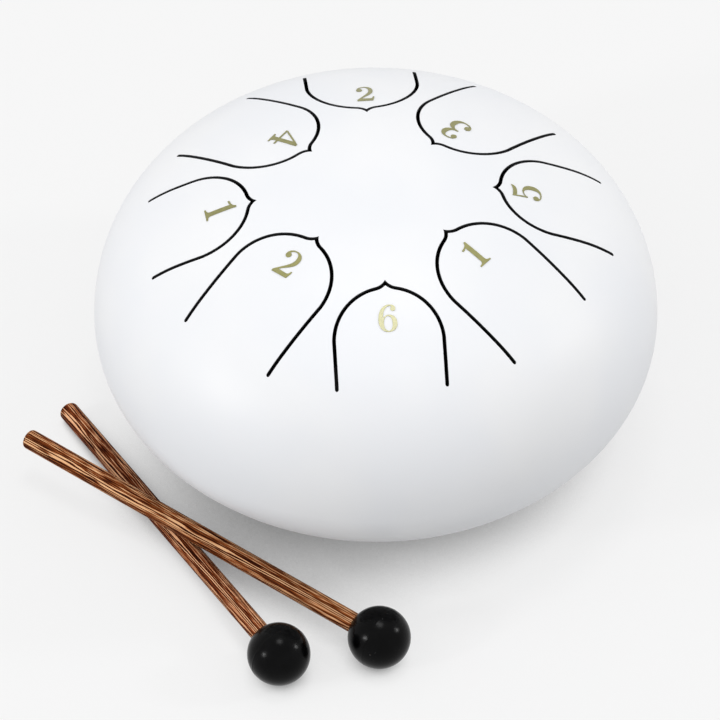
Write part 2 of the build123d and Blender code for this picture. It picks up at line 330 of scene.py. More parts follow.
@dataclass(frozen=True)
class BlackRubber:
    """Moulded black rubber with a fine skin and a few specks of dust."""

    name: str
    roughness: float
    roughness_spread: float = 0.1
    dust_roughness: float = 0.3
    shine: float = 0.08
    black: Colour = (0.0008, 0.0008, 0.0009)
    bloom: Colour = (0.0020, 0.0020, 0.0022)
    dust: Colour = (0.30, 0.30, 0.30)
    cloud_size: float = 0.004
    cloud_tones: Point = (0.35, 0.75)
    skin_size: float = 0.00022
    skin_depth: float = 0.000012
    speck_size: float = 0.0022
    speck_shares: Point = (0.0275, 0.055)
    rare_size: float = 0.00374
    rare_tones: Point = (0.57, 0.61)

    def material(self) -> Material:
        """Material of the rubber.

        Returns:
            The material.
        """
        material, graph, where = new_graph(self.name)
        clouds = graph.noise(where, self.cloud_size, 3.0)
        skin = graph.noise(where, self.skin_size)
        sockets = {"Vector": where, "Scale": 1.0 / self.speck_size}
        cells = graph.node("ShaderNodeTexVoronoi", {"feature": "F1"}, sockets, "Distance")
        rare = graph.noise(where, self.rare_size, 0.0).between(*self.rare_tones)
        specks = (1.0 - cells.between(*self.speck_shares)) * rare
        rubber = graph.mix(clouds.between(*self.cloud_tones), self.black, self.bloom)
        uneven = (clouds - MIDDLE) * self.roughness_spread
        graph.surface({
            "Base Color": graph.mix(specks, rubber, self.dust),
            "Roughness": self.roughness + uneven + specks * self.dust_roughness,
            "Normal": graph.bump(skin, self.skin_depth),
            "Specular IOR Level": self.shine,
        })
        return material


@dataclass(frozen=True)
class Streak:
    """Streaks along a stick: their width, that as a share of their length, octaves and weight."""

    width: float
    stretch: float
    detail: float
    weight: float
    roughness: float = 0.6

    def place(self, graph: Graph, where: Wire) -> Wire:
        """Place in the stick's frame, shortened along Z so that a pattern on it grows long."""
        return graph.node("ShaderNodeMapping", None, {"Vector": where, "Scale": (1.0, 1.0, self.stretch)})

    def noise(self, graph: Graph, where: Wire) -> Wire:
        """Soft streaks, about 0.5 in the middle."""
        return graph.noise(self.place(graph, where), self.width, self.detail, self.roughness)


@dataclass(frozen=True)
class StripedWood:
    """Streaked hardwood, sanded and oiled, with its grain nearly along a stick."""

    name: str
    dark: Colour
    brown: Colour
    tan: Colour
    glow: Colour
    tones: tuple[float, ...] = (0.425, 0.485, 0.54, 0.60)
    ring: Streak = Streak(0.00072, 0.016, 1.0, 0.1)
    ring_waver: float = 5.0
    ring_ripple: float = 2.0
    line_width: float = 0.00032
    line_weight: float = 0.52
    line_waver: Streak = Streak(0.0016, 0.07, 1.0, 4.5)
    band: Streak = Streak(0.0016, 0.03, 2.0, 0.1)
    pore: Streak = Streak(0.00030, 0.035, 1.0, 0.38)
    pore_tones: Point = (0.30, 0.40)
    pore_dark: float = 0.8
    pore_sink: float = 0.4
    pore_roughness: float = 0.2
    grain_tilt: float = radians(1.2)
    grain_depth: float = 0.00007
    roughness: float = 0.55
    roughness_spread: float = 0.1
    shine: float = 0.04

    def lines(self, graph: Graph, where: Wire, radius: float) -> Wire:
        """Fine lines that run along the stick, evenly round it, and wander a little.

        Args:
            graph: Graph to draw in.
            where: Place in the stick's own frame, with its length along Z.
            radius: Radius of the stick.

        Returns:
            The lines, about 0.5 in the middle.
        """
        x, y = [graph.node("ShaderNodeSeparateXYZ", None, {"Vector": where}, axis) for axis in "XY"]
        turns = y.joined("ARCTAN2", False, x) * (radius / self.line_width)
        wander = self.line_waver.noise(graph, where) * self.line_waver.weight
        sockets = {"W": turns + wander, "Scale": 1.0, "Detail": 0.0}
        return graph.node("ShaderNodeTexNoise", {"noise_dimensions": "1D"}, sockets)

    def rings(self, graph: Graph, where: Wire) -> Wire:
        """Growth rings cut lengthways, 0 in the dark late wood and 1 in the pale early wood.

        Args:
            graph: Graph to draw in.
            where: Place in the stick's own frame.

        Returns:
            The rings.
        """
        sockets = {"Vector": self.ring.place(graph, where), "Scale": WAVE_BAND / self.ring.width,
                   "Distortion": self.ring_waver, "Detail": self.ring.detail,
                   "Detail Scale": self.ring_ripple}
        return graph.node("ShaderNodeTexWave", {"bands_direction": "X"}, sockets, "Fac")

    def material(self, frame: Matrix, radius: float) -> Material:
        """Material of a stick.

        Args:
            frame: Frame that the stick lies in, with its length along Z.
            radius: Radius of the stick.

        Returns:
            The material.
        """
        material, graph, place = new_graph(self.name)
        grain = frame @ Matrix.Rotation(self.grain_tilt, 4, "X")
        sockets = {"Vector": place, "Location": grain.to_translation(), "Rotation": grain.to_euler()}
        where = graph.node("ShaderNodeMapping", {"vector_type": "TEXTURE"}, sockets)
        rings, lines = self.rings(graph, where), self.lines(graph, where, radius)
        pores, bands = self.pore.noise(graph, where), self.band.noise(graph, where)
        weights = (self.ring.weight, self.line_weight, self.pore.weight, self.band.weight)
        layers = [layer * weight for layer, weight in zip((rings, lines, pores, bands), weights)]
        tone = layers[0] + layers[1] + layers[2] + layers[3] - MIDDLE * (sum(weights) - 1.0)
        stops = list(zip(self.tones, (self.dark, self.brown, self.tan, self.glow)))
        colour = graph.node("ShaderNodeValToRGB", {"stops": stops}, {"Fac": tone})
        open_pores = 1.0 - pores.between(*self.pore_tones)
        uneven = (bands - MIDDLE) * self.roughness_spread
        graph.surface({
            "Base Color": graph.mix(open_pores * self.pore_dark, colour, self.dark),
            "Roughness": self.roughness + open_pores * self.pore_roughness + uneven,
            "Normal": graph.bump(tone - open_pores * self.pore_sink, self.grain_depth),
            "Specular IOR Level": self.shine,
        })
        return material


@dataclass(frozen=True)
class PaleFloor:
    """Plain pale paper under the drum that glows, with painted shadow where something stands close over it
    and painted shade under the drum.
    """

    tone: Colour = (0.205, 0.205, 0.205)
    other_tone: Colour = (0.195, 0.195, 0.196)
    light_tone: Colour = (0.50, 0.50, 0.50)
    glow: Colour = (0.70, 0.70, 0.70)
    # Emission colour where the glow is taken away for the painted shadow and shade
    dark: Colour = (0.0, 0.0, 0.0)
    # Reach and levels of the occlusion that paints the contact shadow
    painted_shadow_reach: float = 0.038
    painted_shadow_ao_shares: Point = (0.0, 0.63)
    # Distances from the axis over which the painted shade under the drum gives way to the glow
    painted_shade_under_drum: Point = (0.03, 0.06)
    cloud_size: float = 0.4

    def material(self) -> Material:
        """Material of the floor.

        Returns:
            The material.
        """
        material, graph, where = new_graph("pale_floor")
        paper = graph.mix(graph.noise(where, self.cloud_size), self.tone, self.other_tone)
        reach = {"Distance": self.painted_shadow_reach}
        # Ambient occlusion close over the floor, for its painted contact shadow
        ao_for_painted_shadow = graph.node("ShaderNodeAmbientOcclusion", {"samples": 16}, reach, "AO")
        # Distance from the drum's axis, for the painted shade under the drum
        away = graph.node("ShaderNodeVectorMath", {"operation": "LENGTH"}, {0: where}, "Value")
        seen = graph.seen()
        # Painted shadow and shade: the glow fades where something stands close over the floor, and is gone
        # under the drum
        glow_past_painted_shadow = seen * ao_for_painted_shadow.between(*self.painted_shadow_ao_shares) * away.between(*self.painted_shade_under_drum)
        graph.surface({
            "Base Color": graph.mix(seen, self.light_tone, paper),
            "Emission Color": graph.mix(glow_past_painted_shadow, self.dark, self.glow),
            "Emission Strength": 1.0,
            "Roughness": 0.95,
            "Specular IOR Level": 0.0,
        })
        return material


# Blender's modelling tools, used on one piece at a time
def take(*pieces: Piece) -> None:
    """Select these pieces alone, the first one active.

    Args:
        pieces: Pieces in the scene.
    """
    bpy.ops.object.select_all(action="DESELECT")
    for piece in pieces:
        piece.select_set(True)
    bpy.context.view_layer.objects.active = pieces[0]


def new_piece(name: str, points: Sequence[Sequence[float]], edges: Sequence[Sequence[int]],
              faces: Sequence[Sequence[int]]) -> Piece:
    """New piece from points, edges and faces.

    Args:
        name: Name of the piece.
        points: Corners.
        edges: Pairs of corners, where there are no faces.
        faces: Corners of each face.

    Returns:
        The piece, in the scene.
    """
    mesh = bpy.data.meshes.new(name)
    mesh.from_pydata(points, edges, faces)
    piece = bpy.data.objects.new(name, mesh)
    bpy.context.scene.collection.objects.link(piece)
    return piece


@contextmanager
def editing(piece: Piece) -> Iterator[None]:
    """Edit mode on one piece, with nothing selected.

    Args:
        piece: Piece to edit.

    Yields:
        Nothing, while the piece is edited.
    """
    take(piece)
    bpy.ops.object.mode_set(mode="EDIT")
    bpy.ops.mesh.select_mode(type="VERT")
    bpy.ops.mesh.select_all(action="DESELECT")
    yield
    bpy.ops.object.mode_set(mode="OBJECT")


def pick(piece: Piece, part: Part, wanted: Callable[[Any], bool]) -> None:
    """Select the edges or faces that a test accepts, in edit mode.

    Args:
        piece: Piece in edit mode.
        part: Whether edges or faces are selected.
        wanted: Test of one of them.
    """
    bpy.ops.mesh.select_mode(type=part.name)
    bpy.ops.mesh.select_all(action="DESELECT")
    shape = bmesh.from_edit_mesh(piece.data)
    shape.normal_update()
    for found in [each for each in getattr(shape, part.value) if wanted(each)]:
        found.select_set(True)
    bmesh.update_edit_mesh(piece.data)


def pick_ring(piece: Piece, height: float) -> None:
    """Select the edges that lie level at a height, in edit mode."""
    pick(piece, Part.EDGE, lambda edge: all(abs(c.co.z - height) < MERGE for c in edge.verts))


def spun(name: str, section: Sequence[Point], sides: int, closed: bool) -> Piece:
    """Piece turned about the drum's axis by spinning a section.

    Args:
        name: Name of the piece.
        section: Distance from the axis and height of each corner of the section.
        sides: Steps of the full turn.
        closed: Whether the section's last corner joins the first.

    Returns:
        The turned piece, with its normals outwards.
    """
    corners = [(reach, 0.0, height) for reach, height in section]
    links = [(index, index + 1) for index in range(len(section) - 1)]
    if closed:
        links.append((len(section) - 1, 0))
    piece = new_piece(name, corners, links, [])
    with editing(piece):
        bpy.ops.mesh.select_all(action="SELECT")
        bpy.ops.mesh.spin(steps=sides, angle=2 * pi, center=(0, 0, 0), axis=(0, 0, 1))
        close_up()
    return piece


def close_up() -> None:
    """Merge doubled corners and turn all faces outwards, in edit mode."""
    bpy.ops.mesh.select_all(action="SELECT")
    bpy.ops.mesh.remove_doubles(threshold=MERGE)
    bpy.ops.mesh.normals_make_consistent(inside=False)


def apply(piece: Piece, kind: str, settings: dict[str, Any]) -> None:
    """Add a modifier with these settings and apply it.

    Args:
        piece: Piece to change.
        kind: Type of the modifier.
        settings: Its settings by name.
    """
    take(piece)
    modifier = piece.modifiers.new(kind.lower(), kind)
    for name, value in settings.items():
        setattr(modifier, name, value)
    bpy.ops.object.modifier_apply(modifier=modifier.name)


def smooth(piece: Piece, angle: float) -> None:
    """Shade a piece smoothly, but for edges sharper than the angle in degrees."""
    take(piece)
    bpy.ops.object.shade_smooth_by_angle(angle=radians(angle))


def lay(piece: Piece, frame: Matrix) -> None:
    """Move a finished piece into a frame, with its place in its mesh.

    Args:
        piece: Finished piece about the origin.
        frame: Frame to lay it in.
    """
    take(piece)
    piece.matrix_world = frame
    bpy.ops.object.transform_apply(location=True, rotation=True, scale=True)


def dress(piece: Piece, material: Material, slot: Slot) -> None:
    """Give a piece one finish.

    Args:
        piece: Piece to dress.
        material: Its finish.
        slot: Slot of that finish; not used.
    """
    piece.data.materials.clear()
    piece.data.materials.append(material)


@dataclass(frozen=True)
class Skin:
    """Outer skin of one half of the steel body: a flat, a broad arc and a shoulder arc down to the equator.

    The half stands up from the equator where side is 1, and hangs from it where side is -1.
    """

    radius: float
    height: float
    rise: float
    flat: float
    equator: float
    side: int

    @property
    def shoulder(self) -> float:
        """Radius of the shoulder arc."""
        return self.height - self.rise

    @property
    def broad(self) -> float:
        """Radius of the broad arc that meets the shoulder smoothly."""
        reach = self.radius - self.flat
        return ((reach - self.shoulder) ** 2 + self.height**2 - self.shoulder**2) / (2 * self.rise)

    @property
    def meeting(self) -> float:
        """Angle above the equator at which the two arcs meet."""
        return atan2(self.broad - self.height, self.radius - self.shoulder - self.flat)

    def on_arc(self, middle: Point, radius: float, angle: float) -> Point:
        """Distance from the axis and height of an arc's point; its middle's height is from the equator."""
        return middle[0] + radius * cos(angle), self.equator + self.side * (middle[1] + radius * sin(angle))

    def on_shoulder(self, angle: float, inset: float = 0.0) -> Point:
        """Point of the shoulder arc, drawn in by inset."""
        return self.on_arc((self.radius - self.shoulder, 0.0), self.shoulder - inset, angle)

    def on_broad(self, angle: float, inset: float = 0.0) -> Point:
        """Point of the broad arc, drawn in by inset."""
        return self.on_arc((self.flat, self.height - self.broad), self.broad - inset, angle)

    def lift(self, reach: float) -> float:
        """Height of the skin at a distance from the axis.

        Args:
            reach: Distance from the axis.

        Returns:
            The height.
        """
        if reach <= self.flat:
            return self.equator + self.side * self.height
        if reach > self.on_shoulder(self.meeting)[0]:
            cosine = (reach - self.radius + self.shoulder) / self.shoulder
            return self.on_shoulder(acos(min(1.0, cosine)))[1]
        return self.on_broad(acos((reach - self.flat) / self.broad))[1]

    def read(self, point: Vector) -> tuple[float, Vector]:
        """How far a point lies under the skin, and the skin's normal there.

        Args:
            point: Point in the drum's frame.

        Returns:
            The depth and the normal.
        """
        reach = hypot(point.x, point.y)
        above = self.side * (point.z - self.equator)
        out, up = reach - self.flat, above - self.height + self.broad
        arc = self.broad
        if reach <= self.flat:
            out = 0.0
        elif atan2(up, out) < self.meeting:
            out, up, arc = reach - self.radius + self.shoulder, above, self.shoulder
        length = hypot(out, up)
        spread = out / length / max(reach, MERGE)
        return arc - length, Vector((point.x * spread, point.y * spread, self.side * up / length))


@dataclass(frozen=True)
class SlitArch:
    """Slit round a tongue: two straight sides, an arch and a cusp that points to the axis.

    Places are in the tongue's own plan, with the axis of the drum at the origin and the root towards -Y.
    """

    half_spread: float
    width: float = 0.0013
    flattening: float = 0.0008
    haunch: float = 0.012
    cusp_height: float = 0.0018
    cusp_blend: float = 0.006
    step: float = 0.0008
    end_steps: int = 8

    @property
    def half_root(self) -> float:
        """Half of the tongue's width at its root."""
        return self.half_spread - self.width / 2

    @property
    def rise(self) -> float:
        """Height of the arch, a little less than that of a half circle."""
        return self.half_spread - self.flattening

    def arc(self, centre: Point, radius: float, start: float, end: float) -> list[Point]:
        """Points of an arc after its first one, about a step apart."""
        turns = steps(start, end, max(2, round(abs(end - start) * radius / self.step)))[1:]
        return [(centre[0] + radius * cos(a), centre[1] + radius * sin(a)) for a in turns]

    def edge(self, tip: float, root: float, offset: float) -> list[Point]:
        """Edge of the slit from its right root round the cusp to its left root.

        Args:
            tip: Distance of the cusp from the axis.
            root: Distance of the root from the axis.
            offset: How far the edge lies outside the slit's middle line.

        Returns:
            Points of the edge.
        """
        spring = tip + self.cusp_height + self.rise
        spread = self.half_spread - self.haunch
        crown = (spread**2 + self.rise**2 - self.haunch**2) / (2 * (self.rise - self.haunch))
        middle = (0.0, self.rise - crown - spring)
        meeting = atan2(crown - self.rise, spread)
        far, near = crown + self.cusp_height, crown + self.cusp_blend
        turn = pi / 2 - acos((near**2 + far**2 - self.cusp_blend**2) / (2 * near * far))
        blend_centre = (near * cos(turn), middle[1] + near * sin(turn))
        blend = self.cusp_blend - offset
        side = self.half_spread + offset
        count = max(1, round((root - spring) / self.step))
        half = [(side, y) for y in steps(-root, -spring, count)]
        half += self.arc((spread, -spring), self.haunch + offset, 0.0, meeting)
        half += self.arc(middle, crown + offset, meeting, turn)
        half += self.arc(blend_centre, blend, turn - pi, -acos(-blend_centre[0] / blend))
        half[-1] = (0.0, half[-1][1])
        return half + [(-x, y) for x, y in reversed(half[:-1])]

    def inner_cusp(self) -> float:
        """How much farther than the slit's tip the tongue's own cusp lies from the axis."""
        return -max(y for _, y in self.edge(0.0, self.cusp_height + self.rise, -self.width / 2))

    def end(self, root: float, side: int) -> list[Point]:
        """Points between the two corners of the slit's round end, from its inner edge to its outer one."""
        turns, radius = steps(0.0, pi, self.end_steps)[1:-1], self.width / 2
        return [(side * (self.half_spread - radius * cos(a)), -root - radius * sin(a)) for a in turns]


@dataclass(frozen=True)
class Tongue:
    """One tongue: its number, the direction it points in, where its cusp and root lie, and its slit."""

    number: int
    turn: float
    tip: float
    root: float
    slit: SlitArch

    @classmethod
    def of_joint(cls, joint: dict[str, Any]) -> "Tongue":
        """Tongue where the frame's root joint and solid have it.

        Args:
            joint: Root joint of the tongue.

        Returns:
            The tongue.
        """
        number = int(joint["child"].split("_")[1])
        x, y = joint["pos_m"][0], joint["pos_m"][1]
        turn, root = atan2(x, -y), hypot(x, y) + ROOT_GAP / 2
        c, s = cos(turn), sin(turn)
        corners = [corner.co for corner in bpy.data.objects[f"tongue_{number}"].data.vertices]
        half_root = max(abs(c * corner.x + s * corner.y) for corner in corners)
        cusp = min(s * corner.x - c * corner.y for corner in corners)
        slit = SlitArch(half_root + SlitArch.width / 2)
        return cls(number, turn, cusp - slit.inner_cusp(), root, slit)

    def edge(self, side: int) -> list[Point]:
        """Edge of the slit in the drum's plan: the tongue's own for side -1, the dome's for side 1."""
        points = self.slit.edge(self.tip, self.root, side * self.slit.width / 2)
        return [self.to_drum(point) for point in points]

    def to_drum(self, point: Point) -> Point:
        """Place in the drum's plan of a point of the tongue's plan."""
        c, s = cos(self.turn), sin(self.turn)
        return c * point[0] - s * point[1], s * point[0] + c * point[1]

    def from_drum(self, x: float, y: float) -> Point:
        """Place in the tongue's plan of a point of the drum's plan."""
        c, s = cos(self.turn), sin(self.turn)
        return c * x + s * y, c * y - s * x


@dataclass
class SteelBody:
    """The painted steel body: upper half with its tongues, weld and lower half."""

    dome: Skin
    bowl: Skin
    tongues: list[Tongue]
    paint: Material
    wall: float = 0.0015
    weld_half: float = 0.0009
    sound_hole: float = 0.022
    hole_edge: float = 0.0004
    foot_circle: float = 0.052
    foot_hole: float = 0.0026
    foot_count: int = 3
    drill_depth: float = 0.02
    drill_sides: int = 32
    sides: int = 288
    band_steps: int = 22
    join_angle: float = radians(40)
    grain: float = 0.0021
    clear: float = 0.0010
    slit_bevel: float = 0.0001
    bevel_steps: int = 3
    slit_corner: float = radians(60)
    crease: float = 40.0
    least_facing: float = 0.5
    flex_length: float = 0.008

    def weld_angle(self, skin: Skin) -> float:
        """Angle above the equator at which the weld ends on a half's shoulder."""
        return asin(self.weld_half / skin.shoulder)

    def plan(self) -> dict[int, Sheet]:
        """Triangles of the dome seen from above, cut along the slits and across the roots.

        Returns:
            Points and triangles of the dome under 0, and of each tongue under its number.
        """
        points: list[Point] = []
        faces: list[list[int]] = []
        owners: list[int] = []
        join = self.dome.on_shoulder(self.join_angle)[0]

        def add(outline: Sequence[Point]) -> list[int]:
            """Keep points and hand back their places in the list."""
            points.extend(outline)
            return list(range(len(points) - len(outline), len(points)))

        turns = steps(0.0, 2 * pi, self.sides)[:-1]
        rim = add([(join * cos(turn), join * sin(turn)) for turn in turns])
        for tongue in self.tongues:
            inner, outer = add(tongue.edge(-1)), add(tongue.edge(1))
            right = add([tongue.to_drum(p) for p in tongue.slit.end(tongue.root, 1)])
            left = add([tongue.to_drum(p) for p in tongue.slit.end(tongue.root, -1)])
            half = tongue.slit.half_root
            count = round(2 * half / self.grain)
            across = [(x, -tongue.root) for x in steps(-half, half, count)[1:-1]]
            root = add([tongue.to_drum(p) for p in across])
            faces += [inner + root, outer + left[::-1] + inner[::-1] + right]
            owners += [tongue.number, -1]
        taken = kdtree.KDTree(len(points))
        for index, (x, y) in enumerate(points):
            taken.insert((x, y, 0.0), index)
        taken.balance()
        rings = int((join - self.clear) / self.grain)
        for ring in range(rings + 1):
            reach = ring * self.grain
            count = max(1, round(2 * pi * reach / self.grain))
            for index in range(count):
                turn = 2 * pi * (index + ring % 2 / 2) / count
                spot = (reach * cos(turn), reach * sin(turn))
                if taken.find((*spot, 0.0))[2] > self.clear:
                    points.append(spot)
        rim_edges = [(rim[index - 1], rim[index]) for index in range(len(rim))]
        flat = [Vector(point) for point in points]
        made = geometry.delaunay_2d_cdt(flat, rim_edges, faces, 0, PLAN_MERGE, True)
        sheets: dict[int, Sheet] = {}
        for face, inside in zip(made[2], made[5]):
            owner = owners[inside[0]] if inside else 0
            if owner >= 0:
                sheets.setdefault(owner, (made[0], []))[1].append(face)
        return sheets

    def raised(self, name: str, sheet: Sheet) -> Piece:
        """Piece of the dome's skin from its triangles seen from above.

        Args:
            name: Name of the piece.
            sheet: Points and triangles.

        Returns:
            The skin, without thickness.
        """
        flat, faces = sheet
        used = sorted({corner for face in faces for corner in face})
        places = {corner: index for index, corner in enumerate(used)}
        points = [(*flat[c], self.dome.lift(hypot(*flat[c]))) for c in used]
        return new_piece(name, points, [], [[places[c] for c in face] for face in faces])

    def on_root(self, edge: bmesh.types.BMEdge) -> bool:
        """Whether an edge of the skin lies on the root of a tongue.

        Args:
            edge: Edge of the dome or of a tongue.

        Returns:
            True on a root.
        """
        for tongue in self.tongues:
            ends = [tongue.from_drum(corner.co.x, corner.co.y) for corner in edge.verts]
            half = tongue.slit.half_root
            if all(abs(y + tongue.root) < MERGE and abs(x) < half + MERGE for x, y in ends):
                return True
        return False

    def is_slit_edge(self, edge: bmesh.types.BMEdge) -> bool:
        """Whether an edge is the outer edge of a slit's wall.

        Args:
            edge: Edge of the dome or of a tongue.

        Returns:
            True on a slit's outer edge.
        """
        if len(edge.link_faces) != 2 or edge.calc_face_angle(0.0) < self.slit_corner:
            return False
        if min(corner.co.z for corner in edge.verts) < self.dome.on_shoulder(self.join_angle)[1]:
            return False
        if any(self.dome.read(corner.co)[0] > ON_SKIN for corner in edge.verts):
            return False
        return not self.on_root(edge)

    def finish_wall(self, piece: Piece) -> None:
        """Give a piece of the dome its thickness, and round the edges of its slits.

        Args:
            piece: Skin without thickness.
        """
        settings = {"thickness": self.wall, "offset": -1.0, "use_even_offset": True, "use_rim": True}
        apply(piece, "SOLIDIFY", settings)
        with editing(piece):
            pick(piece, Part.EDGE, self.is_slit_edge)
            bpy.ops.mesh.bevel(offset=self.slit_bevel, segments=self.bevel_steps, clamp_overlap=False)

    def finish_skin(self, piece: Piece, skin: Skin) -> None:
        """Shade the skin as the turned form that it is, and note how deep each point lies in the wall.

        Args:
            piece: Piece of the body.
            skin: Skin of the half that it belongs to.
        """
        smooth(piece, self.crease)
        mesh = piece.data
        readings = [skin.read(corner.co) for corner in mesh.vertices]
        depths = [max(0.0, depth / self.wall) for depth, _ in readings]
        normals = [corner.vector.copy() for corner in mesh.corner_normals]
        for loop in mesh.loops:
            depth, normal = readings[loop.vertex_index]
            if abs(depth) < ON_SKIN and normals[loop.index].dot(normal) > self.least_facing:
                normals[loop.index] = normal
        mesh.normals_split_custom_set(normals)
        # The depth in the wall sets where the paint ends and the near-black painted shade begins in the
        # slits and inside the drum
        attribute = mesh.attributes.new("wall_depth", "FLOAT", "POINT")
        attribute.data.foreach_set("value", depths)
        dress(piece, self.paint, Slot.PAINT)

    def upper_half(self, sheet: Sheet) -> Piece:
        """Dome with its openings, down to the weld.

        Args:
            sheet: Points and triangles of the crown.

        Returns:
            The finished piece.
        """
        crown = self.raised("upper_half", sheet)
        angles = steps(self.weld_angle(self.dome), self.join_angle, self.band_steps)
        section = [self.dome.on_shoulder(angle) for angle in angles]
        band = spun("shoulder_band", section, self.sides, False)
        take(crown, band)
        bpy.ops.object.join()
        with editing(crown):
            close_up()
        self.finish_wall(crown)
        self.finish_skin(crown, self.dome)
        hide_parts("upper_shell")
        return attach(crown, "drum")

    def tongue(self, tongue: Tongue, sheet: Sheet) -> Piece:
        """Tongue cut out of the dome along its root.

        Args:
            tongue: Which one.
            sheet: Points and triangles of it.

        Returns:
            The finished piece.
        """
        piece = self.raised(f"sounding_tongue_{tongue.number}", sheet)
        self.finish_wall(piece)
        self.finish_skin(piece, self.dome)
        for reach in (tongue.root, tongue.root - self.flex_length):
            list(tongue.to_drum((0.0, -reach)))
            self.dome.lift(reach)
        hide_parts(f"tongue_{tongue.number}")
        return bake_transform(piece)

    def weld(self) -> Piece:
        """Band of the weld, ground flush with both halves.

        Returns:
            The finished piece.
        """
        rims = [skin.on_shoulder(self.weld_angle(skin)) for skin in (self.bowl, self.dome)]
        inside = [(reach - self.wall, height) for reach, height in reversed(rims)]
        middle = (self.dome.radius, self.dome.equator)
        piece = spun("ground_weld", [rims[0], middle, rims[1], *inside], self.sides, True)
        self.finish_skin(piece, self.dome)
        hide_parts("seam_weld")
        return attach(piece, "drum")

    def bowl_section(self) -> list[Point]:
        """Section of the lower half: down the outer skin, round the hole's edge and up the inner skin.

        Returns:
            Distance from the axis and height of each corner.
        """
        meeting = self.bowl.meeting
        shoulder = steps(self.weld_angle(self.bowl), meeting, self.band_steps)
        broad = steps(meeting, pi / 2, self.band_steps)[1:]
        skins = []
        for inset in (0.0, self.wall):
            skin = [self.bowl.on_shoulder(angle, inset) for angle in shoulder]
            skins.append(skin + [self.bowl.on_broad(angle, inset) for angle in broad])
        skins[1][0] = (skins[0][0][0] - self.wall, skins[0][0][1])
        low, high = skins[0][-1][1], skins[1][-1][1]
        turns = steps(0.0, pi / 2, self.bevel_steps)
        edge = self.hole_edge
        reach = self.sound_hole + edge
        lower = [(reach - edge * sin(turn), low + edge - edge * cos(turn)) for turn in turns]
        upper = [(reach - edge * cos(turn), high - edge + edge * sin(turn)) for turn in turns]
        return skins[0] + lower + upper + skins[1][::-1]

    def lower_half(self) -> Piece:
        """Bowl with its sound hole and the holes of the feet.

        Returns:
            The finished piece.
        """
        piece = spun("lower_half", self.bowl_section(), self.sides, True)
        drills = []
        reach = self.foot_circle
        for index in range(self.foot_count):
            turn = pi / 2 + index * 2 * pi / self.foot_count
            spot = (reach * cos(turn), reach * sin(turn), self.bowl.lift(reach))
            bpy.ops.object.select_all(action="DESELECT")
            bpy.ops.mesh.primitive_cylinder_add(vertices=self.drill_sides, radius=self.foot_hole,
                                                depth=self.drill_depth, location=spot)
            drills.append(bpy.context.object)
        take(*drills)
        bpy.ops.object.join()
        apply(piece, "BOOLEAN", {"operation": "DIFFERENCE", "solver": "EXACT", "object": drills[0]})
        bpy.data.objects.remove(drills[0])
        self.finish_skin(piece, self.bowl)
        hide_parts("lower_shell")
        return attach(piece, "drum")

    def build(self) -> list[Piece]:
        """Make all painted pieces.

        Returns:
            The finished pieces.
        """
        sheets = self.plan()
        made = [self.upper_half(sheets[0]), self.weld(), self.lower_half()]
        return made + [self.tongue(tongue, sheets[tongue.number]) for tongue in self.tongues]


@dataclass
class Foot:
    """Push-in rubber foot under the bowl."""

    node: str
    material: Material
    neck_radius: float = 0.0052
    neck_height: float = 0.0032
    taper: float = 0.45
    edge: float = 0.0009
    edge_steps: int = 5
    dimple: float = 0.0005
    dimple_inset: float = 0.0016
    sides: int = 64
    crease: float = 35.0
    least_facing: float = 0.9

    def build(self) -> Piece:
        """Turned pad with a rounded tread, a dimple under it and a neck up to the bowl.

        Returns:
            The finished piece.
        """
        low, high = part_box(self.node)
        middle = (low + high) / 2
        radius = (high.x - low.x) / 2
        pad = self.neck_height
        bpy.ops.object.select_all(action="DESELECT")
        spot = (middle.x, middle.y, pad / 2)
        bpy.ops.mesh.primitive_cylinder_add(vertices=self.sides, radius=radius, depth=pad, location=spot)
        piece = bpy.context.object
        piece.name = f"foot_pad_{self.node[-1]}"
        with editing(piece):
            pick(piece, Part.FACE, lambda face: face.normal.z > self.least_facing)
            bpy.ops.mesh.inset(thickness=radius - self.neck_radius)
            rise = Vector((0, 0, high.z - pad))
            bpy.ops.mesh.extrude_region_move(TRANSFORM_OT_translate={"value": rise})
            scale = (self.taper, self.taper, 1.0)
            bpy.ops.transform.resize(value=scale, center_override=(middle.x, middle.y, high.z))
            pick(piece, Part.FACE, lambda face: face.normal.z < -self.least_facing)
            bpy.ops.mesh.inset(thickness=self.edge + self.dimple_inset)
            bpy.ops.mesh.inset(thickness=self.dimple)
            bpy.ops.transform.translate(value=(0, 0, self.dimple))
            outer, tread = radius - MERGE, MERGE - pad / 2
            pick(piece, Part.EDGE, lambda edge: all(
                c.co.z < tread and hypot(c.co.x, c.co.y) > outer for c in edge.verts))
            bpy.ops.mesh.bevel(offset=self.edge, segments=self.edge_steps)
        lay(piece, Matrix.Translation(spot))
        smooth(piece, self.crease)
        dress(piece, self.material, Slot.FOOT)
        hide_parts(self.node)
        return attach(piece, "drum")


